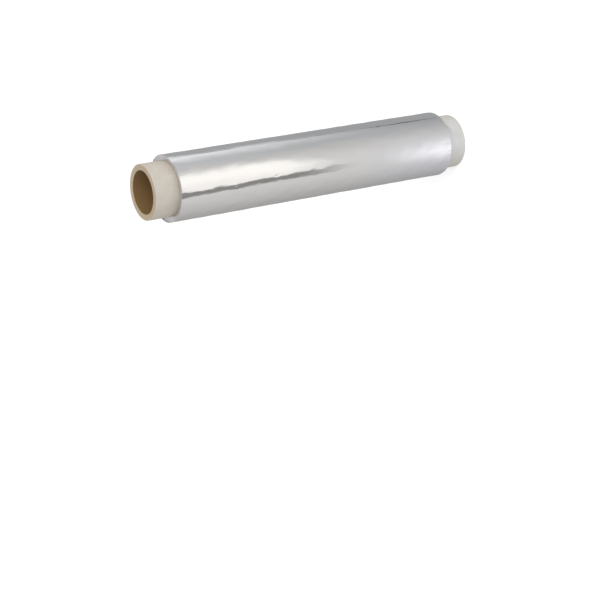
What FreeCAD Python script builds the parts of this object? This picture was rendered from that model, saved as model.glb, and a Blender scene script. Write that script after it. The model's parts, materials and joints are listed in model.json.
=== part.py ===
"""Aluminium foil roll: household foil wound on a card core that stands out at both ends.

Millimetres, +Z up. The roll stands on the cut end of its core. The origin is the centre of
that end and +Z runs up the core's axis. The side that shows its bright face is -Y.
"""

import FreeCAD
import Part
import math
import os

# Core: a spiral-wound card tube, cut square at both ends
core_bore_diameter = 39.2
core_wall = 5.5
core_below_foil = 20.4
core_above_foil = 22.6
cut_edge_chamfer = 0.4

# Foil: one long sheet wound tight on the core
foil_width = 290.0
foil_build_up = 5.4

# Turns at the foil's two ends: groups of turns lie a little deeper than their neighbours
turn_groups = 10
turn_stagger = 0.35
stagger_angle_step = 137.5

# Free edge: the last turn's edge, which isn't glued down and stands off the turn below it.
# Its lip is drawn thicker than the sheet, so that it has a solid form.
free_edge_angle = -37.0
lip_thickness = 0.15
lip_lift = 0.35
lip_length = 14.0
lip_root_depth = 0.2
lip_corner_rise = 2.4

# Places worked out from the sizes above
core_bore_radius = core_bore_diameter / 2
core_radius = core_bore_radius + core_wall
foil_radius = core_radius + foil_build_up
foil_bottom = core_below_foil
foil_top = foil_bottom + foil_width
core_length = foil_top + core_above_foil

AXIS_FOOT = FreeCAD.Vector(0, 0, 0)
AXIS_UP = FreeCAD.Vector(0, 0, 1)


def turned(profile):
    """A solid turned about the axis from (radius, height) corners."""
    corners = [FreeCAD.Vector(radius, 0, height) for radius, height in profile]
    outline = Part.makePolygon(corners + corners[:1])
    return Part.Face(outline).revolve(AXIS_FOOT, AXIS_UP, 360)


def polar(radius, angle_deg, height):
    """The point at a radius and an angle about the axis."""
    angle = math.radians(angle_deg)
    return FreeCAD.Vector(radius * math.cos(angle), radius * math.sin(angle), height)


def make_core_tube():
    """The card tube, with its cut edges broken by a small chamfer."""
    inner = core_bore_radius
    outer = core_radius
    chamfer = min(cut_edge_chamfer, core_wall / 3)
    return turned([
        (inner + chamfer, 0),
        (outer - chamfer, 0),
        (outer, chamfer),
        (outer, core_length - chamfer),
        (outer - chamfer, core_length),
        (inner + chamfer, core_length),
        (inner, core_length - chamfer),
        (inner, chamfer),
    ])


def turn_depth(index, phase_deg):
    """How far a group of turns lies below the end of the roll: an uneven but fixed wave."""
    wave = math.sin(math.radians(index * stagger_angle_step + phase_deg))
    return turn_stagger * (0.5 - 0.5 * wave)


def end_steps(end_height, inward, phase_deg):
    """Corners of the stepped end face, from the core outwards. inward is +1 or -1 along Z."""
    group_width = foil_build_up / turn_groups
    corners = []
    for index in range(turn_groups):
        height = end_height + inward * turn_depth(index, phase_deg)
        inner = core_radius + index * group_width
        corners.append((inner, height))
        corners.append((inner + group_width, height))
    return corners


def make_wound_body():
    """The wound foil without its lip: a thick ring on the core, stepped at both ends."""
    bottom = end_steps(foil_bottom, 1, 0)
    top = end_steps(foil_top, -1, 90)
    return turned(bottom + top[::-1])


def make_lip():
    """The last few millimetres of the sheet, which lift off the roll towards the free edge."""
    lip_angle = math.degrees(lip_length / foil_radius)
    root_angle = free_edge_angle + lip_angle
    middle_angle = free_edge_angle + lip_angle / 2
    height = foil_bottom + lip_corner_rise
    root_outer_radius = foil_radius - lip_root_depth / 2
    root_inner_radius = foil_radius - lip_root_depth - lip_thickness
    tip_inner_radius = foil_radius + lip_lift
    tip_outer_radius = tip_inner_radius + lip_thickness

    def lip_arc(root_radius, tip_radius):
        middle_radius = (root_radius * 3 + tip_radius) / 4
        return (
            polar(root_radius, root_angle, height),
            polar(middle_radius, middle_angle, height),
            polar(tip_radius, free_edge_angle, height),
        )

    outer = lip_arc(root_outer_radius, tip_outer_radius)
    inner = lip_arc(root_inner_radius, tip_inner_radius)
    outline = Part.Wire([
        Part.Arc(*outer).toShape(),
        Part.LineSegment(outer[2], inner[2]).toShape(),
        Part.Arc(*inner[::-1]).toShape(),
        Part.LineSegment(inner[0], outer[0]).toShape(),
    ])
    return Part.Face(outline).extrude(AXIS_UP * (foil_top - height))


def make_foil_winding():
    """All the turns as one solid, with the lip of the free edge."""
    return make_wound_body().fuse(make_lip())


def export_part(name, shape):
    """Checks one piece and writes it to parts/NAME.step."""
    solids = shape.Solids
    if len(solids) != 1 or not solids[0].isValid():
        raise ValueError(f"{name} isn't one valid solid")
    solid = solids[0]
    if solid.Volume < 0:
        solid.reverse()
    solid.exportStep(f"parts/{name}.step")
    box = solid.BoundBox
    size = f"{box.XLength:.2f} x {box.YLength:.2f} x {box.ZLength:.2f}"
    print(f"{name}: {size} mm, {solid.Volume / 1000:.1f} cm3, {len(solid.Faces)} faces")


os.makedirs("parts", exist_ok=True)
export_part("core_tube", make_core_tube())
export_part("foil_winding", make_foil_winding())
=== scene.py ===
"""Looks of a roll of household aluminium foil on its card core.

The roll stands on the cut end of its core, with +Z up the core's axis. Lengths are in
millimetres until a mesh is made, and a mesh is in metres. A side angle is measured about the
axis from -Y, the side that the camera looks at, and grows towards -X.
"""

import json
import logging
import math
from dataclasses import dataclass, field
from enum import Enum
from typing import Any

import bpy
import numpy as np
from mathutils import Matrix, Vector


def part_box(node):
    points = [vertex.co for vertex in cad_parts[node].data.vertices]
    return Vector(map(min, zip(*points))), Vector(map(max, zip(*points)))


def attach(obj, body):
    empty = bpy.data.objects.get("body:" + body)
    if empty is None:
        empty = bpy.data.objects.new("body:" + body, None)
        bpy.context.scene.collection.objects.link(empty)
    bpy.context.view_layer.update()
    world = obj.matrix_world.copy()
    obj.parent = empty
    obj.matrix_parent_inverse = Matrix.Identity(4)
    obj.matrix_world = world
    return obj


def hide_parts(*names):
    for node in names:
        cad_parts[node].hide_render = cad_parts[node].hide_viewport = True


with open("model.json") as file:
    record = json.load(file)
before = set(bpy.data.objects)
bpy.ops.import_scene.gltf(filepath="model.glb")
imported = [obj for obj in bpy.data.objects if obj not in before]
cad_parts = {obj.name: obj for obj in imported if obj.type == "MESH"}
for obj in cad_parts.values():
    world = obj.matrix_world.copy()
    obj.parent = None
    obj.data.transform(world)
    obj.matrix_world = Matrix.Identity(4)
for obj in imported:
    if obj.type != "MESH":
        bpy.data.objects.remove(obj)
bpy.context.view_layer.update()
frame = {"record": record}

log = logging.getLogger("foil_roll")

MM = 0.001
PHOTO_WIDTH = 602
SENSOR_WIDTH = 36.0
BODY = "root"
FULL_TURN = 2.0 * math.pi
SHARP_ANGLE = math.radians(35.0)
SPREAD_SAMPLES = 4000
QUARTER_TURN = 0.25
QUAD_CORNERS = (
    (slice(None, -1), slice(None, -1)),
    (slice(None, -1), slice(1, None)),
    (slice(1, None), slice(1, None)),
    (slice(1, None), slice(None, -1)),
)


class Region(Enum):
    """The surfaces of the roll that have a finish of their own."""

    PAPER = "outer paper of the core"
    CUT_CARD = "cut ends of the core"
    BORE_CARD = "inside of the core"
    FOIL_SKIN = "bright side of the foil"
    TURN_EDGES = "cut edges of the foil's turns"


def linear(hex_colour: str) -> tuple[float, float, float, float]:
    """Turns an sRGB colour into linear light.

    Each share c becomes c / 12.92 up to 0.04045, and ((c + 0.055) / 1.055)^2.4 above it.

    Args:
        hex_colour: six hex digits, with or without a leading hash.

    Returns:
        Linear red, green and blue, and an alpha of 1.
    """
    digits = hex_colour.lstrip("#")
    shares = [int(digits[place:place + 2], 16) / 255 for place in (0, 2, 4)]
    red, green, blue = (
        share / 12.92 if share <= 0.04045 else ((share + 0.055) / 1.055) ** 2.4
        for share in shares
    )
    return red, green, blue, 1.0


def add_node(
    tree: bpy.types.NodeTree,
    kind: str,
    inputs: dict[str | int, Any] | None = None,
    **settings: Any,
) -> bpy.types.Node:
    """Adds one shader node with its settings, constants and links.

    Args:
        tree: the node tree that gets the node.
        kind: the node's type, such as ShaderNodeMath.
        inputs: for each input, by name or number, a constant or the output that feeds it.
        **settings: the node's own properties.

    Returns:
        The new node.
    """
    node = tree.nodes.new(kind)
    for name, value in settings.items():
        setattr(node, name, value)
    for name, value in (inputs or {}).items():
        if isinstance(value, bpy.types.NodeSocket):
            tree.links.new(value, node.inputs[name])
        else:
            node.inputs[name].default_value = value
    return node


def new_material(name: str) -> tuple[bpy.types.Material, bpy.types.NodeTree]:
    """Makes an empty node material.

    Args:
        name: the finish's name.

    Returns:
        The material and its cleared node tree.
    """
    material = bpy.data.materials.new(name)
    material.use_nodes = True
    material.node_tree.nodes.clear()
    return material, material.node_tree


def smooth_step(values: np.ndarray, start: float, end: float) -> np.ndarray:
    """Rises from 0 at start to 1 at end along 3t^2 - 2t^3, and falls where end is lower."""
    share = np.clip((values - start) / (end - start), 0.0, 1.0)
    return share * share * (3.0 - 2.0 * share)


def bell(values: np.ndarray, centre: float, width: float) -> np.ndarray:
    """A Gaussian bell of height 1: exp(-((x - centre) / width)^2)."""
    return np.exp(-(((values - centre) / width) ** 2))


def spread(start: float, end: float, count: int, fine_at: list[tuple[float, float, float]]) -> np.ndarray:
    """Places grid lines closer together where the surface has fine detail.

    The density along the way is 1 plus a bell for each fine place. The lines are at equal
    steps of its running sum.

    Args:
        start: first line.
        end: last line.
        count: how many lines.
        fine_at: (place, width, extra density) of each fine place.

    Returns:
        The lines' places, from start to end.
    """
    samples = np.linspace(start, end, SPREAD_SAMPLES)
    density = np.ones_like(samples)
    for place, width, extra in fine_at:
        density += extra * bell(samples, place, width)
    total = np.concatenate([[0.0], np.cumsum((density[1:] + density[:-1]) / 2)])
    return np.interp(np.linspace(0.0, total[-1], count), total, samples)


def around(radius: np.ndarray, side: np.ndarray, height: np.ndarray) -> np.ndarray:
    """Points at a radius, side angle and height: x = -r sin a, y = -r cos a, z = h."""
    radius, side, height = np.broadcast_arrays(radius, side, height)
    return np.stack([-radius * np.sin(side), -radius * np.cos(side), height], axis=-1)


def numbered(grid: np.ndarray, close_rows: bool = False, close_columns: bool = False) -> np.ndarray:
    """Numbers of a grid's points, row by row, with the first ones again after the last.

    Args:
        grid: rows x columns x 3 places.
        close_rows: whether the first row follows the last.
        close_columns: whether the first column follows the last.

    Returns:
        Rows x columns of point numbers.
    """
    rows, columns = grid.shape[:2]
    numbers = np.arange(rows * columns).reshape(rows, columns)
    return np.pad(numbers, ((0, int(close_rows)), (0, int(close_columns))), mode="wrap")


def at_corners(grid: np.ndarray) -> np.ndarray:
    """A grid's values at the four corners of each of its quads, in order round the quad."""
    return np.stack([grid[corner] for corner in QUAD_CORNERS], axis=2)


@dataclass(frozen=True)
class Patch:
    """A grid of quads on numbered points. It faces the way of columns crossed with rows."""

    numbers: np.ndarray
    row_slots: np.ndarray | int = 0

    def quads(self) -> np.ndarray:
        """Point numbers of each quad."""
        return at_corners(self.numbers).reshape(-1, 4)

    def uvs(self, points: np.ndarray) -> np.ndarray:
        """Unrolls the patch: u runs along the rows and v along the columns, in metres.

        A line's place is the running sum of the mean distance from line to line.

        Args:
            points: places of all the points in millimetres.

        Returns:
            The UV place of each quad's corners.
        """
        places = points[self.numbers] * MM
        across = np.linalg.norm(np.diff(places, axis=1), axis=2).mean(axis=0)
        down = np.linalg.norm(np.diff(places, axis=0), axis=2).mean(axis=1)
        u = np.concatenate([[0.0], np.cumsum(across)])[None, :]
        v = np.concatenate([[0.0], np.cumsum(down)])[:, None]
        return at_corners(np.stack(np.broadcast_arrays(u, v), axis=-1)).reshape(-1, 2)

    def slots(self) -> np.ndarray:
        """Material slot of each quad."""
        rows, columns = self.numbers.shape
        return np.repeat(np.broadcast_to(self.row_slots, rows - 1), columns - 1)


def make_piece(
    name: str, points: np.ndarray, patches: list[Patch], materials: list[bpy.types.Material]
) -> bpy.types.Object:
    """Makes one smooth-shaded mesh from patches that share their points.

    Edges where the surface turns by more than SHARP_ANGLE stay hard.

    Args:
        name: the piece's name.
        points: places of all the points, in millimetres.
        patches: the grids of quads.
        materials: the materials, one for each slot.

    Returns:
        The new object, at the origin.
    """
    points = points.reshape(-1, 3)
    quads = np.concatenate([patch.quads() for patch in patches])
    uvs = np.concatenate([patch.uvs(points) for patch in patches])
    slots = np.concatenate([patch.slots() for patch in patches])
    mesh = bpy.data.meshes.new(name)
    mesh.vertices.add(len(points))
    mesh.vertices.foreach_set("co", (points * MM).astype(np.float32).ravel())
    mesh.loops.add(quads.size)
    mesh.loops.foreach_set("vertex_index", quads.astype(np.int32).ravel())
    mesh.polygons.add(len(quads))
    mesh.polygons.foreach_set("loop_start", np.arange(0, quads.size, 4, dtype=np.int32))
    mesh.polygons.foreach_set("use_smooth", np.ones(len(quads), dtype=bool))
    mesh.polygons.foreach_set("material_index", slots.astype(np.int32))
    mesh.update(calc_edges=True)
    mesh.uv_layers.new(name="UVMap").data.foreach_set("uv", uvs.astype(np.float32).ravel())
    mesh.validate()
    mesh.set_sharp_from_angle(angle=SHARP_ANGLE)
    for material in materials:
        mesh.materials.append(material)
    piece = bpy.data.objects.new(name, mesh)
    bpy.context.scene.collection.objects.link(piece)
    return piece


@dataclass(frozen=True)
class RollSizes:
    """The roll's driving sizes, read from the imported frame, in millimetres."""

    core_radius: float
    bore_radius: float
    core_length: float
    foil_radius: float
    foil_bottom: float
    foil_top: float

    @classmethod
    def from_frame(cls) -> "RollSizes":
        """Reads the sizes from the boxes of the two nodes and the bore's mount.

        Returns:
            The sizes.
        """
        core_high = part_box("core_tube")[1]
        foil_low, foil_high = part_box("foil_winding")
        mounts = {mount["name"]: mount for mount in frame["record"]["mounts"]}
        return cls(
            core_radius=core_high.x / MM,
            bore_radius=mounts["core_bore"]["dims"]["r_mm"],
            core_length=core_high.z / MM,
            foil_radius=foil_high.x / MM,
            foil_bottom=foil_low.z / MM,
            foil_top=foil_high.z / MM,
        )

    @property
    def foil_width(self) -> float:
        """Width of the foil, along the axis."""
        return self.foil_top - self.foil_bottom

    def height_at(self, share: float) -> float:
        """Height of the place a share of the way down the foil from its upper end."""
        return self.foil_top - share * self.foil_width


@dataclass(frozen=True)
class BrightFoil:
    """Rolled aluminium foil, bright side out: a soft mirror with faint rolling lines.

    The rolls leave fine lines that run round the roll, so a reflection is smeared along the
    axis and stays crisp round it. That gives the long clean bands of light.
    """

    colour: str = "#F3F3F3"
    roughness: float = 0.15
    roughness_spread: float = 0.05
    anisotropy: float = 0.55
    line_pitch: float = 0.7
    line_length: float = 100.0
    line_depth: float = 0.0016
    ripple_size: float = 6.0
    ripple_depth: float = 0.2
    ripple_stretch: float = 3.0

    def material(self) -> bpy.types.Material:
        """Builds the foil's material.

        Returns:
            The material.
        """
        material, tree = new_material("rolled_aluminium_foil_bright_side")
        place = add_node(tree, "ShaderNodeTexCoord")
        # Rolling lines: noise drawn out to line_length across the axis, so that it runs round
        # the roll. Real lines are a few hundredths of a millimetre apart, too fine to show.
        along_lines = 1.0 / (self.line_length * MM)
        lines_place = add_node(
            tree, "ShaderNodeMapping",
            {"Vector": place.outputs["Object"],
             "Scale": (along_lines, along_lines, 1.0 / (self.line_pitch * MM))},
        )
        lines = add_node(
            tree, "ShaderNodeTexNoise",
            {"Vector": lines_place.outputs["Vector"], "Scale": 1.0, "Detail": 3.0, "Roughness": 0.6},
        )
        # Ripples left by hands and by winding: noise drawn out along the axis.
        ripple_scale = 1.0 / (self.ripple_size * MM)
        ripple_place = add_node(
            tree, "ShaderNodeMapping",
            {"Vector": place.outputs["Object"],
             "Scale": (ripple_scale, ripple_scale, ripple_scale / self.ripple_stretch)},
        )
        ripples = add_node(
            tree, "ShaderNodeTexNoise",
            {"Vector": ripple_place.outputs["Vector"], "Scale": 1.0, "Detail": 3.0, "Roughness": 0.55},
        )
        line_bump = add_node(
            tree, "ShaderNodeBump",
            {"Height": lines.outputs["Fac"], "Strength": 1.0, "Distance": self.line_depth * MM},
        )
        ripple_bump = add_node(
            tree, "ShaderNodeBump",
            {"Height": ripples.outputs["Fac"], "Strength": 1.0,
             "Distance": self.ripple_depth * MM, "Normal": line_bump.outputs["Normal"]},
        )
        roughness = add_node(
            tree, "ShaderNodeMapRange",
            {"Value": lines.outputs["Fac"], "From Min": 0.3, "From Max": 0.7,
             "To Min": self.roughness - self.roughness_spread / 2,
             "To Max": self.roughness + self.roughness_spread / 2},
        )
        tangent = add_node(tree, "ShaderNodeTangent", direction_type="UV_MAP", uv_map="UVMap")
        shader = add_node(
            tree, "ShaderNodeBsdfPrincipled",
            {"Base Color": linear(self.colour), "Metallic": 1.0,
             "Roughness": roughness.outputs["Result"], "Anisotropic": self.anisotropy,
             "Anisotropic Rotation": QUARTER_TURN, "Tangent": tangent.outputs["Tangent"],
             "Normal": ripple_bump.outputs["Normal"]},
        )
        add_node(tree, "ShaderNodeOutputMaterial", {"Surface": shader.outputs["BSDF"]})
        return material


@dataclass(frozen=True)
class TurnEdges:
    """Slit edges of the wound foil: satin grey metal with fine concentric lines.

    Light is lost between the turns, so the face is darker than the sheet's own side, and
    each group of turns catches the light a little differently. Both are painted shade: the
    rings mix the colour with a darker painted shade colour.
    """

    colour: str = "#F4F3F2"
    # Darker colour of the rings: painted shade for the light lost between the turns.
    painted_shade_colour: str = "#DAD7D5"
    roughness: float = 0.2
    anisotropy: float = 0.6
    turn_pitch: float = 0.16
    turn_depth: float = 0.02

    def material(self) -> bpy.types.Material:
        """Builds the material of the turns' edges.

        Returns:
            The material.
        """
        material, tree = new_material("slit_foil_edges")
        place = add_node(tree, "ShaderNodeTexCoord")
        parts = add_node(tree, "ShaderNodeSeparateXYZ", {"Vector": place.outputs["Object"]})
        flat = add_node(
            tree, "ShaderNodeCombineXYZ", {"X": parts.outputs["X"], "Y": parts.outputs["Y"]}
        )
        radius = add_node(
            tree, "ShaderNodeVectorMath", {0: flat.outputs["Vector"]}, operation="LENGTH"
        )
        # Turns are 0.011 mm thick: the pattern is drawn at the pitch of a group of them.
        turns = add_node(
            tree, "ShaderNodeTexNoise",
            {"W": radius.outputs["Value"], "Scale": 1.0 / (self.turn_pitch * MM),
             "Detail": 2.0, "Roughness": 0.7},
            noise_dimensions="1D",
        )
        # Ring by ring the colour is mixed towards painted shade, for light lost between the turns.
        shade = add_node(
            tree, "ShaderNodeMapRange",
            {"Value": turns.outputs["Fac"], "From Min": 0.3, "From Max": 0.6},
        )
        colour = add_node(
            tree, "ShaderNodeMix",
            {"Factor": shade.outputs["Result"], 6: linear(self.painted_shade_colour), 7: linear(self.colour)},
            data_type="RGBA",
        )
        bump = add_node(
            tree, "ShaderNodeBump",
            {"Height": turns.outputs["Fac"], "Strength": 1.0, "Distance": self.turn_depth * MM},
        )
        tangent = add_node(tree, "ShaderNodeTangent", direction_type="UV_MAP", uv_map="UVMap")
        shader = add_node(
            tree, "ShaderNodeBsdfPrincipled",
            {"Base Color": colour.outputs[2], "Metallic": 1.0, "Roughness": self.roughness,
             "Anisotropic": self.anisotropy, "Anisotropic Rotation": QUARTER_TURN,
             "Tangent": tangent.outputs["Tangent"], "Normal": bump.outputs["Normal"]},
        )
        add_node(tree, "ShaderNodeOutputMaterial", {"Surface": shader.outputs["BSDF"]})
        return material


@dataclass(frozen=True)
class SlantedStrip:
    """A strip wound on at a slant, whose edges meet in a helix on the core."""

    width: float = 104.0
    joint_turn: float = 0.346
    joint_width: float = 0.5

    def joint(self, tree: bpy.types.NodeTree, place: bpy.types.Node) -> bpy.types.NodeSocket:
        """Marks the joint: 1 on the line where the strip's edges meet, fading to 0 beside it.

        Height over the strip's width, plus the angle in turns, less joint_turn, is a whole
        number on the joint. The distance to the nearest whole number gives the mark.

        Args:
            tree: the node tree that gets the nodes.
            place: the texture coordinate node.

        Returns:
            The mark's output.
        """
        parts = add_node(tree, "ShaderNodeSeparateXYZ", {"Vector": place.outputs["Object"]})
        angle = add_node(
            tree, "ShaderNodeMath", {0: parts.outputs["Y"], 1: parts.outputs["X"]}, operation="ARCTAN2"
        )
        turns = add_node(
            tree, "ShaderNodeMath", {0: angle.outputs[0], 1: 1.0 / FULL_TURN, 2: -self.joint_turn},
            operation="MULTIPLY_ADD",
        )
        strips = add_node(
            tree, "ShaderNodeMath",
            {0: parts.outputs["Z"], 1: 1.0 / (self.width * MM), 2: turns.outputs[0]},
            operation="MULTIPLY_ADD",
        )
        from_joint = add_node(
            tree, "ShaderNodeMath", {0: strips.outputs[0], 1: 0.5}, operation="PINGPONG"
        )
        return add_node(
            tree, "ShaderNodeMapRange",
            {"Value": from_joint.outputs[0], "From Min": 0.0,
             "From Max": self.joint_width / self.width, "To Min": 1.0, "To Max": 0.0},
            interpolation_type="SMOOTHSTEP",
        ).outputs["Result"]


@dataclass(frozen=True)
class CorePaper:
    """Uncoated white facing paper, wound on at a slant: soft, warm and a little mottled."""

    colour: str = "#DBD3C8"
    mottle_colour: str = "#D4CCBF"
    joint_colour: str = "#B0A493"
    joint_share: float = 0.45
    joint_depth: float = 0.08
    roughness: float = 0.82
    fibre_size: float = 0.5
    fibre_depth: float = 0.02
    mottle_size: float = 9.0
    strip: SlantedStrip = SlantedStrip()

    def material(self) -> bpy.types.Material:
        """Builds the paper's material.

        Returns:
            The material.
        """
        material, tree = new_material("uncoated_core_paper")
        place = add_node(tree, "ShaderNodeTexCoord")
        mottle = add_node(
            tree, "ShaderNodeTexNoise",
            {"Vector": place.outputs["Object"], "Scale": 1.0 / (self.mottle_size * MM),
             "Detail": 4.0, "Roughness": 0.6},
        )
        fibres = add_node(
            tree, "ShaderNodeTexNoise",
            {"Vector": place.outputs["Object"], "Scale": 1.0 / (self.fibre_size * MM),
             "Detail": 3.0, "Roughness": 0.65},
        )
        mottle_share = add_node(
            tree, "ShaderNodeMapRange",
            {"Value": mottle.outputs["Fac"], "From Min": 0.35, "From Max": 0.7},
        )
        colour = add_node(
            tree, "ShaderNodeMix",
            {"Factor": mottle_share.outputs["Result"], 6: linear(self.colour),
             7: linear(self.mottle_colour)},
            data_type="RGBA",
        )
        joint = self.strip.joint(tree, place)
        joint_tone = add_node(
            tree, "ShaderNodeMath", {0: joint, 1: self.joint_share}, operation="MULTIPLY"
        )
        jointed = add_node(
            tree, "ShaderNodeMix",
            {"Factor": joint_tone.outputs[0], 6: colour.outputs[2], 7: linear(self.joint_colour)},
            data_type="RGBA",
        )
        fibre_bump = add_node(
            tree, "ShaderNodeBump",
            {"Height": fibres.outputs["Fac"], "Strength": 1.0, "Distance": self.fibre_depth * MM},
        )
        joint_bump = add_node(
            tree, "ShaderNodeBump",
            {"Height": joint, "Strength": 1.0, "Distance": self.joint_depth * MM,
             "Normal": fibre_bump.outputs["Normal"]},
            invert=True,
        )
        shader = add_node(
            tree, "ShaderNodeBsdfPrincipled",
            {"Base Color": jointed.outputs[2], "Roughness": self.roughness,
             "Normal": joint_bump.outputs["Normal"]},
        )
        add_node(tree, "ShaderNodeOutputMaterial", {"Surface": shader.outputs["BSDF"]})
        return material


@dataclass(frozen=True)
class PlyCard:
    """Grey-brown card plies glued in rings: rough, fibrous, with the glue lines darker.

    The cut end shows the plies as rings under the white facing paper. The bore shows the
    brown face of the inmost ply.
    """

    ply_colour: str = "#C4B39C"
    pale_ply_colour: str = "#D2C4AF"
    glue_colour: str = "#988060"
    bore_colour: str = "#886B44"
    bore_pale_colour: str = "#9F8158"
    bore_joint_colour: str = "#5E4529"
    facing_colour: str = "#D8D1C6"
    facing_width: float = 0.45
    facing_full: float = 0.6
    glue_width: float = 0.22
    glue_share: float = 0.75
    roughness: float = 0.9
    fibre_size: float = 0.6
    fibre_depth: float = 0.05
    ply_wander: float = 0.25
    inner_strip: SlantedStrip = SlantedStrip(joint_turn=0.846, joint_width=0.9)

    def cut_material(self, ply: float, bore_radius: float, core_radius: float) -> bpy.types.Material:
        """Builds the material of the cut ends.

        A glue line fades out over glue_width of a ply on each side of a joint. The facing's
        white starts facing_width inside the outer wall, and is full at facing_full of that.

        Args:
            ply: thickness of a ply in millimetres.
            bore_radius: radius of the bore in millimetres.
            core_radius: outer radius of the core in millimetres.

        Returns:
            The material.
        """
        material, tree = new_material("cut_card_plies")
        place = add_node(tree, "ShaderNodeTexCoord")
        parts = add_node(tree, "ShaderNodeSeparateXYZ", {"Vector": place.outputs["Object"]})
        flat = add_node(
            tree, "ShaderNodeCombineXYZ", {"X": parts.outputs["X"], "Y": parts.outputs["Y"]}
        )
        radius = add_node(
            tree, "ShaderNodeVectorMath", {0: flat.outputs["Vector"]}, operation="LENGTH"
        )
        fibres = add_node(
            tree, "ShaderNodeTexNoise",
            {"Vector": place.outputs["Object"], "Scale": 1.0 / (self.fibre_size * MM),
             "Detail": 3.0, "Roughness": 0.7},
        )
        # Plies counted from the bore, pushed in and out a little by the fibres.
        wander = add_node(
            tree, "ShaderNodeMath",
            {0: fibres.outputs["Fac"], 1: self.ply_wander * ply * MM, 2: radius.outputs["Value"]},
            operation="MULTIPLY_ADD",
        )
        from_bore = add_node(
            tree, "ShaderNodeMath", {0: wander.outputs[0], 1: bore_radius * MM}, operation="SUBTRACT"
        )
        plies = add_node(
            tree, "ShaderNodeMath", {0: from_bore.outputs[0], 1: ply * MM}, operation="DIVIDE"
        )
        number = add_node(tree, "ShaderNodeMath", {0: plies.outputs[0]}, operation="FLOOR")
        own_tone = add_node(
            tree, "ShaderNodeTexWhiteNoise", {"W": number.outputs[0]}, noise_dimensions="1D"
        )
        from_glue = add_node(
            tree, "ShaderNodeMath", {0: plies.outputs[0], 1: 0.5}, operation="PINGPONG"
        )
        glue = add_node(
            tree, "ShaderNodeMapRange",
            {"Value": from_glue.outputs[0], "From Min": 0.0, "From Max": self.glue_width,
             "To Min": self.glue_share, "To Max": 0.0},
        )
        toned = add_node(
            tree, "ShaderNodeMix",
            {"Factor": own_tone.outputs["Value"], 6: linear(self.ply_colour),
             7: linear(self.pale_ply_colour)},
            data_type="RGBA",
        )
        glued = add_node(
            tree, "ShaderNodeMix",
            {"Factor": glue.outputs["Result"], 6: toned.outputs[2], 7: linear(self.glue_colour)},
            data_type="RGBA",
        )
        facing = add_node(
            tree, "ShaderNodeMapRange",
            {"Value": wander.outputs[0], "From Min": (core_radius - self.facing_width) * MM,
             "From Max": (core_radius - self.facing_width * self.facing_full) * MM},
        )
        faced = add_node(
            tree, "ShaderNodeMix",
            {"Factor": facing.outputs["Result"], 6: glued.outputs[2], 7: linear(self.facing_colour)},
            data_type="RGBA",
        )
        bump = add_node(
            tree, "ShaderNodeBump",
            {"Height": fibres.outputs["Fac"], "Strength": 1.0, "Distance": self.fibre_depth * MM},
        )
        shader = add_node(
            tree, "ShaderNodeBsdfPrincipled",
            {"Base Color": faced.outputs[2], "Roughness": self.roughness,
             "Normal": bump.outputs["Normal"]},
        )
        add_node(tree, "ShaderNodeOutputMaterial", {"Surface": shader.outputs["BSDF"]})
        return material

    def bore_material(self) -> bpy.types.Material:
        """Builds the material of the bore.

        Returns:
            The material.
        """
        material, tree = new_material("brown_card_bore")
        place = add_node(tree, "ShaderNodeTexCoord")
        fibres = add_node(
            tree, "ShaderNodeTexNoise",
            {"Vector": place.outputs["Object"], "Scale": 1.0 / (self.fibre_size * MM),
             "Detail": 4.0, "Roughness": 0.7},
        )
        colour = add_node(
            tree, "ShaderNodeMix",
            {"Factor": fibres.outputs["Fac"], 6: linear(self.bore_colour),
             7: linear(self.bore_pale_colour)},
            data_type="RGBA",
        )
        jointed = add_node(
            tree, "ShaderNodeMix",
            {"Factor": self.inner_strip.joint(tree, place), 6: colour.outputs[2],
             7: linear(self.bore_joint_colour)},
            data_type="RGBA",
        )
        bump = add_node(
            tree, "ShaderNodeBump",
            {"Height": fibres.outputs["Fac"], "Strength": 1.0, "Distance": self.fibre_depth * MM},
        )
        shader = add_node(
            tree, "ShaderNodeBsdfPrincipled",
            {"Base Color": jointed.outputs[2], "Roughness": self.roughness,
             "Normal": bump.outputs["Normal"]},
        )
        add_node(tree, "ShaderNodeOutputMaterial", {"Surface": shader.outputs["BSDF"]})
        return material


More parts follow.
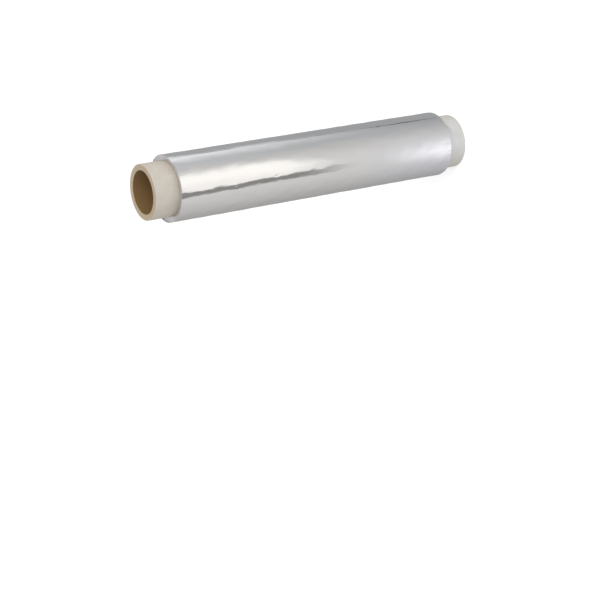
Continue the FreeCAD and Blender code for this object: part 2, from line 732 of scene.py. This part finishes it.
@dataclass
class CoreTube:
    """The spiral-wound card core, with its plies, facing paper and cut ends."""

    sizes: RollSizes
    edge_rounding: float = 0.35
    ply_count: int = 11
    ply_dip: float = 0.07
    cut_wander: float = 0.1
    cut_wander_reach: float = 3.0
    second_wave: float = 0.6
    out_of_round: float = 0.05
    out_of_round_reach: float = 30.0
    columns: int = 224
    wall_rows: int = 26
    round_points: int = 6
    points_per_ply: int = 4
    seed: int = 7

    @property
    def ply(self) -> float:
        """Thickness of one ply."""
        return (self.sizes.core_radius - self.sizes.bore_radius) / self.ply_count

    def end_profile(self) -> tuple[np.ndarray, np.ndarray]:
        """Section of one cut end, from the bore to the outer wall.

        Two quarter rounds join the cut face to the walls. On the face each ply is a low
        crown: it dips by ply_dip times |2s - 1|^4, where s runs from 0 to 1 across the ply.

        Returns:
            Radius of each point, and how far it lies below the end's plane.
        """
        rounding = self.edge_rounding
        turn = np.linspace(0.0, math.pi / 2, self.round_points)
        inner_radius = self.sizes.bore_radius + rounding - rounding * np.cos(turn)
        inner_depth = rounding - rounding * np.sin(turn)
        face = np.linspace(
            self.sizes.bore_radius + rounding,
            self.sizes.core_radius - rounding,
            self.ply_count * self.points_per_ply + 1,
        )[1:-1]
        share = np.mod((face - self.sizes.bore_radius) / self.ply, 1.0)
        face_depth = self.ply_dip * np.abs(2.0 * share - 1.0) ** 4
        outer_radius = self.sizes.core_radius - rounding + rounding * np.sin(turn)
        outer_depth = rounding - rounding * np.cos(turn)
        return (
            np.concatenate([inner_radius, face, outer_radius]),
            np.concatenate([inner_depth, face_depth, outer_depth]),
        )

    def row_slots(self, radius: np.ndarray) -> np.ndarray:
        """Material slot of each row of quads, from the mean radius of its two rows of points."""
        middle = (radius + np.roll(radius, -1)) / 2
        in_bore = middle < self.sizes.bore_radius + self.edge_rounding / 4
        on_cut = middle < self.sizes.core_radius - self.edge_rounding
        return np.select([in_bore, on_cut], [2, 1], 0)

    def build(self, finishes: dict[Region, bpy.types.Material]) -> bpy.types.Object:
        """Makes the core: the section carried round the axis, slightly out of true.

        The section runs out over the upper cut, down the outer wall, in over the lower cut
        and up the bore. The radius gains out_of_round times cos(2a + p), fading out over
        out_of_round_reach from an end. A cut end wanders by up to cut_wander as two slow
        waves round the rim, the second one second_wave times as high as the first. They
        die out over cut_wander_reach. The lower end wanders by a third of that, so that it
        stands level.

        Args:
            finishes: the material of each region.

        Returns:
            The finished piece.
        """
        draw = np.random.default_rng(self.seed)
        length = self.sizes.core_length
        radius, depth = self.end_profile()
        wall = np.linspace(0.0, 1.0, self.wall_rows + 2)[1:-1]
        wall = 0.5 - 0.5 * np.cos(math.pi * wall)
        wall_height = self.edge_rounding + (length - 2 * self.edge_rounding) * wall
        rows_radius = np.concatenate([
            radius,
            np.full(self.wall_rows, self.sizes.core_radius),
            radius[::-1],
            np.full(self.wall_rows, self.sizes.bore_radius),
        ])
        rows_height = np.concatenate([length - depth, wall_height[::-1], depth[::-1], wall_height])
        side = np.linspace(-math.pi, math.pi, self.columns, endpoint=False)[None, :]
        height = rows_height[:, None]
        phases = draw.uniform(0.0, FULL_TURN, 6)
        near_top = smooth_step(height, length - self.out_of_round_reach, length)
        near_bottom = smooth_step(height, self.out_of_round_reach, 0.0)
        oval = near_top * np.cos(2 * side + phases[0]) + near_bottom * np.cos(2 * side + phases[1])
        second = self.second_wave
        top_wave = np.sin(2 * side + phases[2]) + second * np.sin(5 * side + phases[3])
        bottom_wave = np.sin(2 * side + phases[4]) + second * np.sin(3 * side + phases[5])
        drop = self.cut_wander * (0.5 + 0.5 * top_wave / (1.0 + second))
        lift = self.cut_wander / 3 * (0.5 + 0.5 * bottom_wave / (1.0 + second))
        height = height - drop * smooth_step(height, length - self.cut_wander_reach, length)
        height = height + lift * smooth_step(height, self.cut_wander_reach, 0.0)
        points = around(rows_radius[:, None] + self.out_of_round * oval, side, height)
        patch = Patch(numbered(points, True, True), self.row_slots(rows_radius))
        regions = (Region.PAPER, Region.CUT_CARD, Region.BORE_CARD)
        piece = make_piece("core_tube_card", points, [patch], [finishes[region] for region in regions])
        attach(piece, BODY)
        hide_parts("core_tube")
        return piece


@dataclass(frozen=True)
class Dent:
    """A small knock in the foil: a hollow with a low raised rim, drawn out along the axis."""

    side: float
    height: float
    depth: float
    width_round: float = 1.2
    width_along: float = 2.4
    slant: float = 0.18

    def offset(self, arc: np.ndarray, rise: np.ndarray) -> np.ndarray:
        """Height of the surface: -depth (1 - q) exp(-q), where q is (a/w)^2 + (z/l)^2.

        Args:
            arc: distance round the roll from the dent, in millimetres.
            rise: distance along the axis from it.

        Returns:
            Offsets in millimetres.
        """
        from_middle = ((arc - self.slant * rise) / self.width_round) ** 2 + (rise / self.width_along) ** 2
        return -self.depth * (1.0 - from_middle) * np.exp(-from_middle)


@dataclass
class FoilRelief:
    """How the wound foil departs from a true cylinder: waves, crinkled ends, a few knocks."""

    sizes: RollSizes
    wave_count: int = 20
    wave_height: float = 0.25
    shortest_wave: float = 11.0
    longest_wave: float = 220.0
    sunk_share: float = 0.3
    crinkle_count: int = 5
    crinkle_height: float = 0.02
    crinkle_reach: float = 5.0
    crinkle_slant: float = 0.15
    seed: int = 21
    dents: list[Dent] = field(default_factory=list)

    def __post_init__(self) -> None:
        """Draws the waves: each has a whole number of crests round the roll."""
        draw = np.random.default_rng(self.seed)
        self.crests = draw.integers(5, 20, self.wave_count)
        self.lengths = self.shortest_wave * (self.longest_wave / self.shortest_wave) ** draw.uniform(
            0.0, 1.0, self.wave_count
        )
        self.slants = draw.choice([-1.0, 1.0], self.wave_count)
        self.phases = draw.uniform(0.0, FULL_TURN, self.wave_count)
        self.crinkle_crests = draw.integers(30, 52, self.crinkle_count)
        self.crinkle_phases = draw.uniform(0.0, FULL_TURN, (2, self.crinkle_count))

    def waves(self, side: np.ndarray, height: np.ndarray) -> np.ndarray:
        """Slow waves: h / m times sin(m a + 2 pi z / L + p), with m crests round the roll."""
        return sum(
            self.wave_height / crests * np.sin(crests * side + slant * FULL_TURN * height / length + phase)
            for crests, length, slant, phase in zip(self.crests, self.lengths, self.slants, self.phases)
        )

    def crinkles(self, side: np.ndarray, height: np.ndarray) -> np.ndarray:
        """Short slanted waves round both ends, which die out over crinkle_reach.

        Args:
            side: side angles in radians.
            height: heights in millimetres.

        Returns:
            Offsets in millimetres.
        """
        total = np.zeros(np.broadcast(side, height).shape)
        for inward, phases in zip(
            (self.sizes.foil_top - height, height - self.sizes.foil_bottom), self.crinkle_phases
        ):
            near = bell(np.maximum(inward, 0.0), 0.0, self.crinkle_reach)
            for crests, phase in zip(self.crinkle_crests, phases):
                angle = crests * side + phase + self.crinkle_slant * inward
                total += near * self.crinkle_height * np.sin(angle)
        return total

    def offset(self, side: np.ndarray, height: np.ndarray) -> np.ndarray:
        """Height of the surface over the true cylinder: waves, crinkles and dents added up.

        The whole surface is sunk by sunk_share of wave_height, so that the crests stay
        inside the roll's outline.

        Args:
            side: side angles in radians.
            height: heights in millimetres.

        Returns:
            Offsets in millimetres, mostly below 0.
        """
        sunk = self.sunk_share * self.wave_height
        total = self.waves(side, height) + self.crinkles(side, height) - sunk
        for dent in self.dents:
            away = np.mod(side - math.radians(dent.side) + math.pi, FULL_TURN) - math.pi
            total += dent.offset(away * self.sizes.foil_radius, height - dent.height)
        return total


@dataclass
class WoundTurns:
    """All the turns of foil under the last one, with their slit edges at both ends."""

    sizes: RollSizes
    relief: FoilRelief
    skin_clearance: float = 0.33
    groups: int = 10
    group_stagger: float = 0.35
    group_angle_step: float = 137.5
    rings_per_group: int = 5
    ring_gap: float = 0.024
    ring_stagger: float = 0.09
    ring_wobble: float = 0.05
    core_gap_depth: float = 1.3
    columns: int = 240
    side_rows: int = 60
    seed: int = 3

    def end_depths(self, phase: float, side: np.ndarray, draw: np.random.Generator) -> np.ndarray:
        """How far each ring of turns lies inside the end of the roll.

        A group g lies at stagger times (1 - sin(137.5 g + phase)) / 2. Each ring in it adds
        a random share of ring_stagger and a wobble of one wave round the roll. The first
        turns were started askew, so the inmost group lies core_gap_depth deeper.

        Args:
            phase: phase of the groups' wave in degrees.
            side: side angles of the columns in radians.
            draw: source of the random shares.

        Returns:
            Depth of each ring at each column, in millimetres.
        """
        count = self.groups * self.rings_per_group
        group = np.arange(count) // self.rings_per_group
        steps = self.group_stagger * (
            0.5 - 0.5 * np.sin(np.radians(group * self.group_angle_step + phase))
        )
        steps += np.where(group == 0, self.core_gap_depth, 0.0)
        own = draw.uniform(0.0, self.ring_stagger, count)
        turn = draw.uniform(0.0, FULL_TURN, count)
        wobble = self.ring_wobble * (0.5 + 0.5 * np.cos(side[None, :] + turn[:, None]))
        return (steps + own)[:, None] + wobble

    def build(self, finishes: dict[Region, bpy.types.Material]) -> bpy.types.Object:
        """Makes the turns: rings at the ends, the skin of the last turn but one between them.

        The section runs out over the top rings, down the side, in over the bottom rings and
        up along the core, and closes on itself.

        Args:
            finishes: the material of each region.

        Returns:
            The finished piece.
        """
        draw = np.random.default_rng(self.seed)
        side = np.linspace(-math.pi, math.pi, self.columns, endpoint=False)
        outer = self.sizes.foil_radius - self.skin_clearance
        walls = np.linspace(self.sizes.core_radius, outer, self.groups * self.rings_per_group + 1)
        half_gap = self.ring_gap / 2
        ring_radius = np.stack([walls[:-1] + half_gap, walls[1:] - half_gap], axis=1).ravel()
        top_depth = np.repeat(self.end_depths(90.0, side, draw), 2, axis=0)
        bottom_depth = np.repeat(self.end_depths(0.0, side, draw), 2, axis=0)
        top = around(ring_radius[:, None], side[None, :], self.sizes.foil_top - top_depth)
        bottom = around(ring_radius[:, None], side[None, :], self.sizes.foil_bottom + bottom_depth)
        share = np.linspace(0.0, 1.0, self.side_rows)[:, None]
        top_edge = self.sizes.foil_top - top_depth[-1]
        bottom_edge = self.sizes.foil_bottom + bottom_depth[-1]
        height = top_edge[None, :] * (1 - share) + bottom_edge[None, :] * share
        skin = around(outer + self.relief.offset(side[None, :], height), side[None, :], height)
        points = np.concatenate([top, skin, bottom[::-1]], axis=0)
        rings = len(ring_radius)
        row_slots = np.zeros(len(points), dtype=int)
        row_slots[rings:rings + self.side_rows - 1] = 1
        patch = Patch(numbered(points, True, True), row_slots)
        regions = (Region.TURN_EDGES, Region.FOIL_SKIN)
        piece = make_piece("foil_turns", points, [patch], [finishes[region] for region in regions])
        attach(piece, BODY)
        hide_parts("foil_winding")
        return piece


@dataclass
class LastTurn:
    """The last turn of the sheet, with its free edge standing off the roll.

    An arc angle runs back along the sheet from the free edge: it is 0 there and a full turn
    further on, where the sheet goes under its own free edge.
    """

    sizes: RollSizes
    relief: FoilRelief
    thickness: float = 0.05
    turn_fall: float = 1.3
    skin_below_box: float = 0.12
    free_edge_top: float = -57.3
    free_edge_bottom: float = -52.3
    free_edge_wave: float = 0.3
    lip_length: float = 14.0
    lip_lift: float = 0.32
    lip_lift_low: float = 0.06
    snag_lift: float = 0.24
    snag_share: float = 0.763
    under_lip: float = 14.0
    columns: int = 344
    rows: int = 138

    def bottom_edge(self, arc: np.ndarray) -> np.ndarray:
        """How far the sheet's lower edge stands above the foil's nominal end.

        The sheet was pulled off askew, so its corner is 3 mm short at the free edge. Nearly
        a turn back the edge pokes out by nearly 3 mm in one place, and is a little short
        beside it.

        Args:
            arc: arc angles in degrees.

        Returns:
            Offsets in millimetres.
        """
        return (
            -0.2
            + 3.3 * smooth_step(arc, 60.0, 5.0)
            + 1.1 * bell(arc, 288.0, 14.0)
            - 2.6 * bell(arc, 328.0, 10.0)
            + 1.1 * smooth_step(arc, 330.0, 346.0)
        )

    def top_edge(self, arc: np.ndarray) -> np.ndarray:
        """How far the sheet's upper edge stands above the foil's nominal end.

        Args:
            arc: arc angles in degrees.

        Returns:
            Offsets in millimetres.
        """
        return (
            -0.4
            + 1.7 * smooth_step(arc, 310.0, 225.0) * smooth_step(arc, 60.0, 200.0)
            + 0.9 * smooth_step(arc, 120.0, 20.0)
            + 0.8 * smooth_step(arc, 328.0, 350.0)
        )

    def lift(self, share: np.ndarray) -> np.ndarray:
        """How far the free edge stands off: most near the lower end, with one small snag."""
        gape = (self.lip_lift - self.lip_lift_low) * bell(share, 0.87, 0.09)
        return self.lip_lift_low + gape + self.snag_lift * bell(share, self.snag_share, 0.006)

    def faces(self) -> tuple[np.ndarray, np.ndarray]:
        """Places of the sheet's outer and inner face, rows from the lower edge up.

        The sheet's radius falls by turn_fall thicknesses in a turn, so that it runs under
        itself. Its free edge runs straight from free_edge_top to free_edge_bottom, and
        wavers by two sines, the first free_edge_wave high and the second half that.
        Over the last lip_length of arc the lip stands off by lift times (1 - s)^2, where s
        runs from 0 at the free edge to 1 at the lip's root.

        Returns:
            Rows x columns x 3 places of each face, in millimetres.
        """
        lip = math.degrees(self.lip_length / self.sizes.foil_radius)
        under = math.degrees(self.under_lip / self.sizes.foil_radius)
        dents = self.relief.dents
        fine_arcs = [(2.0, 3.0, 4.0), (358.0, 4.0, 2.0)]
        fine_arcs += [(np.mod(self.free_edge_top - dent.side, 360.0), 3.0, 2.0) for dent in dents]
        fine_shares = [(0.0, 0.03, 1.0), (1.0, 0.03, 1.0), (self.snag_share, 0.012, 3.0)]
        fine_shares += [
            ((self.sizes.foil_top - dent.height) / self.sizes.foil_width, 0.012, 3.0) for dent in dents
        ]
        arc = spread(0.0, 360.0 + under, self.columns, fine_arcs)[None, :]
        share = spread(0.0, 1.0, self.rows, fine_shares)[::-1, None]
        top = self.sizes.foil_top + self.top_edge(arc)
        bottom = self.sizes.foil_bottom + self.bottom_edge(arc)
        height = top * (1 - share) + bottom * share
        wave = self.free_edge_wave * (np.sin(share * 17.0) + 0.5 * np.sin(share * 41.0 + 1.0))
        edge = self.free_edge_top * (1 - share) + self.free_edge_bottom * share + wave
        side = np.radians(edge - arc)
        skin = self.sizes.foil_radius - self.skin_below_box
        radius = (
            skin
            - self.turn_fall * self.thickness * arc / 360.0
            + self.lift(share) * np.clip(1.0 - arc / lip, 0.0, 1.0) ** 2
            + self.relief.offset(side, height)
        )
        return around(radius, side, height), around(radius - self.thickness, side, height)

    def build(self, finishes: dict[Region, bpy.types.Material]) -> bpy.types.Object:
        """Makes the sheet as a closed slab: its two faces and its four narrow edges.

        Args:
            finishes: the material of each region.

        Returns:
            The finished piece.
        """
        outside, inside = self.faces()
        front = numbered(outside)
        back = front + front.size
        patches = [
            Patch(front),
            Patch(back[:, ::-1]),
            Patch(np.stack([back[0], front[0]])),
            Patch(np.stack([front[-1], back[-1]])),
            Patch(np.stack([front[:, 0], back[:, 0]])),
            Patch(np.stack([back[:, -1], front[:, -1]])),
        ]
        piece = make_piece(
            "foil_last_turn", np.stack([outside, inside]), patches, [finishes[Region.FOIL_SKIN]]
        )
        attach(piece, BODY)
        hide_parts("foil_winding")
        return piece


@dataclass(frozen=True)
class PhotoCamera:
    """The camera at the photograph's viewing angle, fitted to the roll's outlines.

    It looks down on the standing roll and is rolled on its side, so that the roll lies
    across the picture with its upper end at the left.
    """

    focal_pixels: float = 1717.0
    back: float = 1363.3
    height: float = 978.4
    pan: float = 5.004
    tilt: float = 29.839
    roll: float = 102.053

    def build(self) -> bpy.types.Object:
        """Makes the camera and gives it to the scene.

        The view starts level along +Y, rolls about its own axis, tilts down and pans.

        Returns:
            The camera.
        """
        data = bpy.data.cameras.new("photo_camera")
        data.sensor_width = SENSOR_WIDTH
        data.lens = SENSOR_WIDTH * self.focal_pixels / PHOTO_WIDTH
        data.clip_start = 0.05
        data.clip_end = 50.0
        camera = bpy.data.objects.new("photo_camera", data)
        turn = (
            Matrix.Rotation(math.radians(self.pan), 4, "Z")
            @ Matrix.Rotation(math.radians(90.0 - self.tilt), 4, "X")
            @ Matrix.Rotation(math.radians(-self.roll), 4, "Z")
        )
        place = Matrix.Translation((0.0, -self.back * MM, self.height * MM))
        camera.matrix_world = place @ turn
        bpy.context.scene.collection.objects.link(camera)
        bpy.context.scene.camera = camera
        return camera


@dataclass(frozen=True)
class GlowStrip:
    """A lit or dark strip of the reflector, placed by where the foil shows it.

    Sides are in degrees about the roll, from low to high at a quarter of the way down the
    foil, and move by lean over its whole width. The strip reaches down to the share
    `until`, less early_top of it for each degree above the middle, and dies out over fade.
    """

    low: float
    high: float
    soft_low: float
    soft_high: float
    level: float
    tint: str = "#FFFFFF"
    lean_low: float = 0.0
    lean_high: float = 0.0
    until: float = 3.0
    early_top: float = 0.0
    fade: float = 0.1

    def cover(self, side: np.ndarray, along: np.ndarray) -> np.ndarray:
        """How much of the reflector's light is the strip's, from 0 to 1.

        Args:
            side: sides in degrees.
            along: shares of the way down the foil.

        Returns:
            The shares: the product of a step at each of the strip's three edges.
        """
        low = self.low + self.lean_low * (along - 0.25)
        high = self.high + self.lean_high * (along - 0.25)
        until = self.until + self.early_top * np.minimum(side, 0.0)
        return (
            smooth_step(side - low, -self.soft_low / 2, self.soft_low / 2)
            * smooth_step(side - high, self.soft_high / 2, -self.soft_high / 2)
            * smooth_step(along - until, self.fade / 2, -self.fade / 2)
        )

    def light(self) -> np.ndarray:
        """Red, green and blue of the strip's light, with green at the strip's level."""
        tint = np.array(linear(self.tint)[:3])
        return self.level * tint / tint[1]


@dataclass
class Reflector:
    """A pale sleeve round the roll, which only its gloss sees, with strips as in a light tent."""

    sizes: RollSizes
    camera: PhotoCamera
    radius: float = 55.0
    inner_radius: float = 26.0
    floor_clearance: float = 0.4
    panel_start: float = 146.0
    panel_full: float = 156.0
    panel_level: float = 0.6
    wall_level: float = 0.37
    wall_rise: float = 0.31
    wall_fall: float = 0.33
    upper_level: float = 0.02
    ridge_level: float = 0.06
    glow_level: float = 0.4
    collar_rise: float = 50.0
    collar_gap: float = 0.5
    collar_level: float = 0.61
    collar_tint: str = "#FEFCFF"
    far_tint: str = "#FBFDFF"
    near_tint: str = "#FFFDFB"
    low_tint: str = "#FAFAFF"
    columns: int = 721
    rows: int = 96

    def front_strips(self) -> list[GlowStrip]:
        """Strips that the camera sees in the foil, laid one over another."""
        cool = "#FBFDFF"
        warm = "#FFFCF8"
        return [
            GlowStrip(
                low=-58.2, high=-45.0, soft_low=3.0, soft_high=22.0, level=0.87, tint=cool,
                lean_low=6.0, until=1.19, early_top=0.014, fade=0.95,
            ),
            GlowStrip(
                low=-18.0, high=11.2, soft_low=18.0, soft_high=3.5, level=0.95, tint=warm,
                lean_high=-5.3, until=0.48, early_top=0.0075, fade=0.26,
            ),
            GlowStrip(
                low=-14.5, high=2.0, soft_low=10.0, soft_high=16.0, level=1.08, tint=warm,
                until=0.46, early_top=0.0075, fade=0.24,
            ),
            GlowStrip(
                low=11.4, high=19.9, soft_low=2.0, soft_high=2.5, level=0.25, tint=warm,
                lean_low=-5.3, lean_high=-5.3, until=0.53, fade=0.28,
            ),
        ]

    def back_strips(self) -> list[GlowStrip]:
        """Strips behind the roll, by their side on the sleeve measured from +Y."""
        return [
            GlowStrip(low=-15.0, high=10.0, soft_low=9.0, soft_high=3.0, level=1.05),
            GlowStrip(low=10.5, high=15.5, soft_low=2.0, soft_high=3.0, level=0.3),
        ]

    def reach(self, side: np.ndarray) -> np.ndarray:
        """Level distance that a mirrored ray goes from the foil to the reflector.

        It solves |R n + k m| = D, where n points out of the roll, m is the mirrored ray's
        level direction, at the side angle from n, R is the foil's radius and D the
        reflector's.

        Args:
            side: side angles in radians.

        Returns:
            Distances in millimetres.
        """
        foil = self.sizes.foil_radius
        return np.sqrt(self.radius**2 - (foil * np.sin(side)) ** 2) - foil * np.cos(side)

    def wall_light(self, side: np.ndarray, along: np.ndarray) -> np.ndarray:
        """Light of the bare wall: it rises from the far side to the middle and falls again.

        It starts at wall_level, gains wall_rise and loses wall_fall, each along a smooth
        step. The upper part is lighter by upper_level, with a low ridge, and the lower end
        shows a soft glow. The tint goes from far_tint to near_tint round the roll, and
        towards low_tint at its lower end.

        Args:
            side: sides in degrees where the foil shows the wall.
            along: shares of the way down the foil.

        Returns:
            Red, green and blue emission strengths.
        """
        upper = smooth_step(along, 0.6, 0.0)
        wall = (
            self.wall_level
            + self.ridge_level * upper * bell(side, -37.0, 12.0)
            + self.upper_level * upper
            + self.wall_rise * smooth_step(side, -56.0, 2.0)
            - self.wall_fall * smooth_step(side, 4.0, 85.0)
        )
        glow = self.glow_level * smooth_step(along, 0.70, 1.03) * bell(side, 13.5, 14.0)
        far, near, low = (
            np.array(linear(tint)[:3]) for tint in (self.far_tint, self.near_tint, self.low_tint)
        )
        nearness = smooth_step(side, -42.0, -18.0)[..., None]
        lowness = (smooth_step(along, 0.55, 0.95) * smooth_step(side, -45.0, 15.0))[..., None]
        tint = far / far[1] * (1.0 - nearness) + near / near[1] * nearness
        tint = tint * (1.0 - lowness) + low / low[1] * lowness
        return (wall + glow)[..., None] * tint

    def light(self, sleeve_side: np.ndarray, height: np.ndarray) -> np.ndarray:
        """Light of each place on the reflector.

        A place is turned into the side and share of the foil that shows it to the camera,
        which is taken as far away. The foil at side a mirrors the sleeve at
        a + asin(k sin a / D), lower by k times the tangent of the camera's tilt, where k is
        the ray's reach and D the sleeve's radius.
        The strips are laid over the wall there one after another. Behind the roll, where
        the camera's view of the foil ends, a panel with strips of its own takes over.

        Args:
            sleeve_side: side angles on the reflector in radians.
            height: heights on the reflector in millimetres.

        Returns:
            Red, green and blue emission strengths.
        """
        side = np.linspace(-math.pi / 2, math.pi / 2, self.columns)
        shown = side + np.arcsin(self.reach(side) * np.sin(side) / self.radius)
        seen = np.interp(sleeve_side, shown, side)
        drop = self.reach(seen) * math.tan(math.radians(self.camera.tilt))
        along = (self.sizes.foil_top - height - drop) / self.sizes.foil_width
        seen, along = np.broadcast_arrays(np.degrees(seen), along)
        front = self.wall_light(seen, along)
        for strip in self.front_strips():
            cover = strip.cover(seen, along)[..., None]
            front = front * (1 - cover) + strip.light() * cover
        from_back = np.degrees(np.mod(sleeve_side, FULL_TURN)) - 180.0
        from_back = np.broadcast_to(from_back, along.shape)
        back = np.full(front.shape, self.panel_level)
        for strip in self.back_strips():
            cover = strip.cover(from_back, along)[..., None]
            back = back * (1 - cover) + strip.light() * cover
        panel = smooth_step(180.0 - np.abs(from_back), self.panel_start, self.panel_full)[..., None]
        return front * (1 - panel) + back * panel

    def build(self) -> bpy.types.Object:
        """Makes the sleeve, with a ring at its foot and a plain collar above the foil.

        The ring hides the bare floor from the foil, and the collar dims what the upper
        slit edges show.

        Returns:
            The reflector.
        """
        side = np.linspace(-math.pi, math.pi, self.columns)[None, :]
        top = self.sizes.foil_top + self.collar_rise
        collar = np.array([top, self.sizes.foil_top + self.collar_gap])
        wall = np.linspace(self.sizes.foil_top, self.floor_clearance, self.rows)
        height = np.concatenate([collar, wall, wall[-1:]])[:, None]
        radius = np.full(height.shape, self.radius)
        radius[-1] = self.inner_radius
        points = around(radius, side, height)
        material, tree = new_material("reflector_glow")
        light = add_node(tree, "ShaderNodeAttribute", attribute_name="light")
        glow = add_node(tree, "ShaderNodeEmission", {"Color": light.outputs["Color"], "Strength": 1.0})
        add_node(tree, "ShaderNodeOutputMaterial", {"Surface": glow.outputs["Emission"]})
        material.cycles.emission_sampling = "NONE"
        sleeve = make_piece("reflector", points, [Patch(numbered(points))], [material])
        colours = np.ones((*points.shape[:2], 4), dtype=np.float32)
        colours[..., :3] = self.light(side, height)
        colours[:len(collar), :, :3] = self.collar_level * np.array(linear(self.collar_tint)[:3])
        attribute = sleeve.data.attributes.new("light", "FLOAT_COLOR", "POINT")
        attribute.data.foreach_set("color", colours.ravel())
        sleeve.visible_camera = False
        sleeve.visible_diffuse = False
        sleeve.visible_transmission = False
        sleeve.visible_volume_scatter = False
        sleeve.visible_shadow = False
        return sleeve


@dataclass(frozen=True)
class Softbox:
    """A square soft lamp that faces a place on the roll's axis.

    Its place and size are in metres, and the height that it faces is in millimetres.
    """

    name: str
    place: tuple[float, float, float]
    aim_height: float
    power: float
    size: float
    colour: tuple[float, float, float]

    def build(self) -> bpy.types.Object:
        """Makes the lamp, with its own -Z towards the place that it faces.

        Gloss doesn't see it, so no lamp shows in the foil.

        Returns:
            The lamp.
        """
        data = bpy.data.lights.new(self.name, "AREA")
        data.energy = self.power
        data.size = self.size
        data.color = self.colour
        lamp = bpy.data.objects.new(self.name, data)
        back = np.array(self.place) - np.array([0.0, 0.0, self.aim_height * MM])
        back /= np.linalg.norm(back)
        right = np.cross([0.0, 0.0, 1.0], back)
        right /= np.linalg.norm(right)
        up = np.cross(back, right)
        turn = Matrix(np.stack([right, up, back], axis=1).tolist()).to_4x4()
        lamp.matrix_world = Matrix.Translation(self.place) @ turn
        lamp.visible_camera = False
        lamp.visible_glossy = False
        bpy.context.scene.collection.objects.link(lamp)
        return lamp


@dataclass
class Studio:
    """Plain pale floor, even world light, two soft lamps and the reflector."""

    sizes: RollSizes
    camera: PhotoCamera
    floor_size: float = 16000.0
    floor_colour: str = "#F0F0F0"
    floor_lift: float = 0.46
    fill_strength: float = 0.62
    key_place: tuple[float, float, float] = (0.55, -0.95, 1.15)
    key_colour: tuple[float, float, float] = (1.0, 0.94, 0.86)
    key_power: float = 6.8
    key_size: float = 1.1
    low_place: tuple[float, float, float] = (0.05, -0.25, 0.07)
    low_colour: tuple[float, float, float] = (0.42, 0.65, 1.0)
    low_power: float = 0.27
    low_size: float = 0.18

    def build(self) -> None:
        """Makes the floor, the world, the lamps and the reflector."""
        self.make_floor()
        self.make_world()
        middle = self.sizes.core_length / 2
        Softbox("key_softbox", self.key_place, middle, self.key_power, self.key_size,
                self.key_colour).build()
        Softbox("low_softbox", self.low_place, self.sizes.foil_bottom, self.low_power,
                self.low_size, self.low_colour).build()
        Reflector(self.sizes, self.camera).build()

    def seen_directly(self, tree: bpy.types.NodeTree) -> bpy.types.NodeSocket:
        """A factor of 1 for camera, glossy and transmission rays, and 0 for the rest.

        Args:
            tree: the node tree that gets the nodes.

        Returns:
            The factor's output.
        """
        path = add_node(tree, "ShaderNodeLightPath")
        either = add_node(
            tree, "ShaderNodeMath",
            {0: path.outputs["Is Camera Ray"], 1: path.outputs["Is Glossy Ray"]},
            operation="MAXIMUM",
        )
        return add_node(
            tree, "ShaderNodeMath",
            {0: either.outputs[0], 1: path.outputs["Is Transmission Ray"]}, operation="MAXIMUM",
        ).outputs[0]

    def make_floor(self) -> bpy.types.Object:
        """Makes the floor: matt, and lifted to white where it is seen, shadows kept.

        Returns:
            The floor.
        """
        half = self.floor_size / 2
        across, along = np.meshgrid([-half, 0.0, half], [-half, 0.0, half], indexing="xy")
        points = np.stack([across, along, np.zeros_like(across)], axis=-1)
        material, tree = new_material("pale_floor")
        matt = add_node(tree, "ShaderNodeBsdfDiffuse", {"Color": linear(self.floor_colour)})
        lift = add_node(
            tree, "ShaderNodeMath", {0: self.seen_directly(tree), 1: self.floor_lift},
            operation="MULTIPLY",
        )
        glow = add_node(
            tree, "ShaderNodeEmission", {"Color": (1.0, 1.0, 1.0, 1.0), "Strength": lift.outputs[0]}
        )
        both = add_node(
            tree, "ShaderNodeAddShader", {0: matt.outputs["BSDF"], 1: glow.outputs["Emission"]}
        )
        add_node(tree, "ShaderNodeOutputMaterial", {"Surface": both.outputs["Shader"]})
        floor = make_piece("floor", points, [Patch(numbered(points))], [material])
        return floor

    def make_world(self) -> None:
        """Lights the scene evenly, and shows white where the world itself is seen."""
        world = bpy.data.worlds.new("studio")
        world.use_nodes = True
        world.node_tree.nodes.clear()
        tree = world.node_tree
        strength = add_node(
            tree, "ShaderNodeMapRange",
            {"Value": self.seen_directly(tree), "To Min": self.fill_strength, "To Max": 1.0},
        )
        back = add_node(
            tree, "ShaderNodeBackground",
            {"Color": (1.0, 1.0, 1.0, 1.0), "Strength": strength.outputs["Result"]},
        )
        add_node(tree, "ShaderNodeOutputWorld", {"Surface": back.outputs["Background"]})
        bpy.context.scene.world = world


def make_finishes(sizes: RollSizes, core: CoreTube) -> dict[Region, bpy.types.Material]:
    """Makes the material of each region.

    Args:
        sizes: the roll's sizes.
        core: the core, for the thickness of its plies.

    Returns:
        The materials.
    """
    card = PlyCard()
    return {
        Region.PAPER: CorePaper().material(),
        Region.CUT_CARD: card.cut_material(core.ply, sizes.bore_radius, sizes.core_radius),
        Region.BORE_CARD: card.bore_material(),
        Region.FOIL_SKIN: BrightFoil().material(),
        Region.TURN_EDGES: TurnEdges().material(),
    }


def main() -> None:
    """Builds the camera, the studio and the roll, and reports each piece."""
    logging.basicConfig(level=logging.INFO, format="%(message)s")
    bpy.context.scene.view_settings.view_transform = "Standard"
    sizes = RollSizes.from_frame()
    camera = PhotoCamera()
    camera.build()
    Studio(sizes, camera).build()
    relief = FoilRelief(sizes, dents=[
        Dent(side=17.6, height=sizes.height_at(0.189), depth=0.18, width_round=1.5),
        Dent(side=9.0, height=sizes.height_at(0.335), depth=0.11, width_along=3.4),
        Dent(side=150.0, height=sizes.height_at(0.4), depth=0.12, width_round=1.6),
    ])
    core = CoreTube(sizes)
    finishes = make_finishes(sizes, core)
    for part in (core, WoundTurns(sizes, relief), LastTurn(sizes, relief)):
        piece = part.build(finishes)
        piece.data.calc_loop_triangles()
        log.info("%s: %d triangles, on %s", piece.name, len(piece.data.loop_triangles), BODY)


if __name__ == "__main__":
    main()
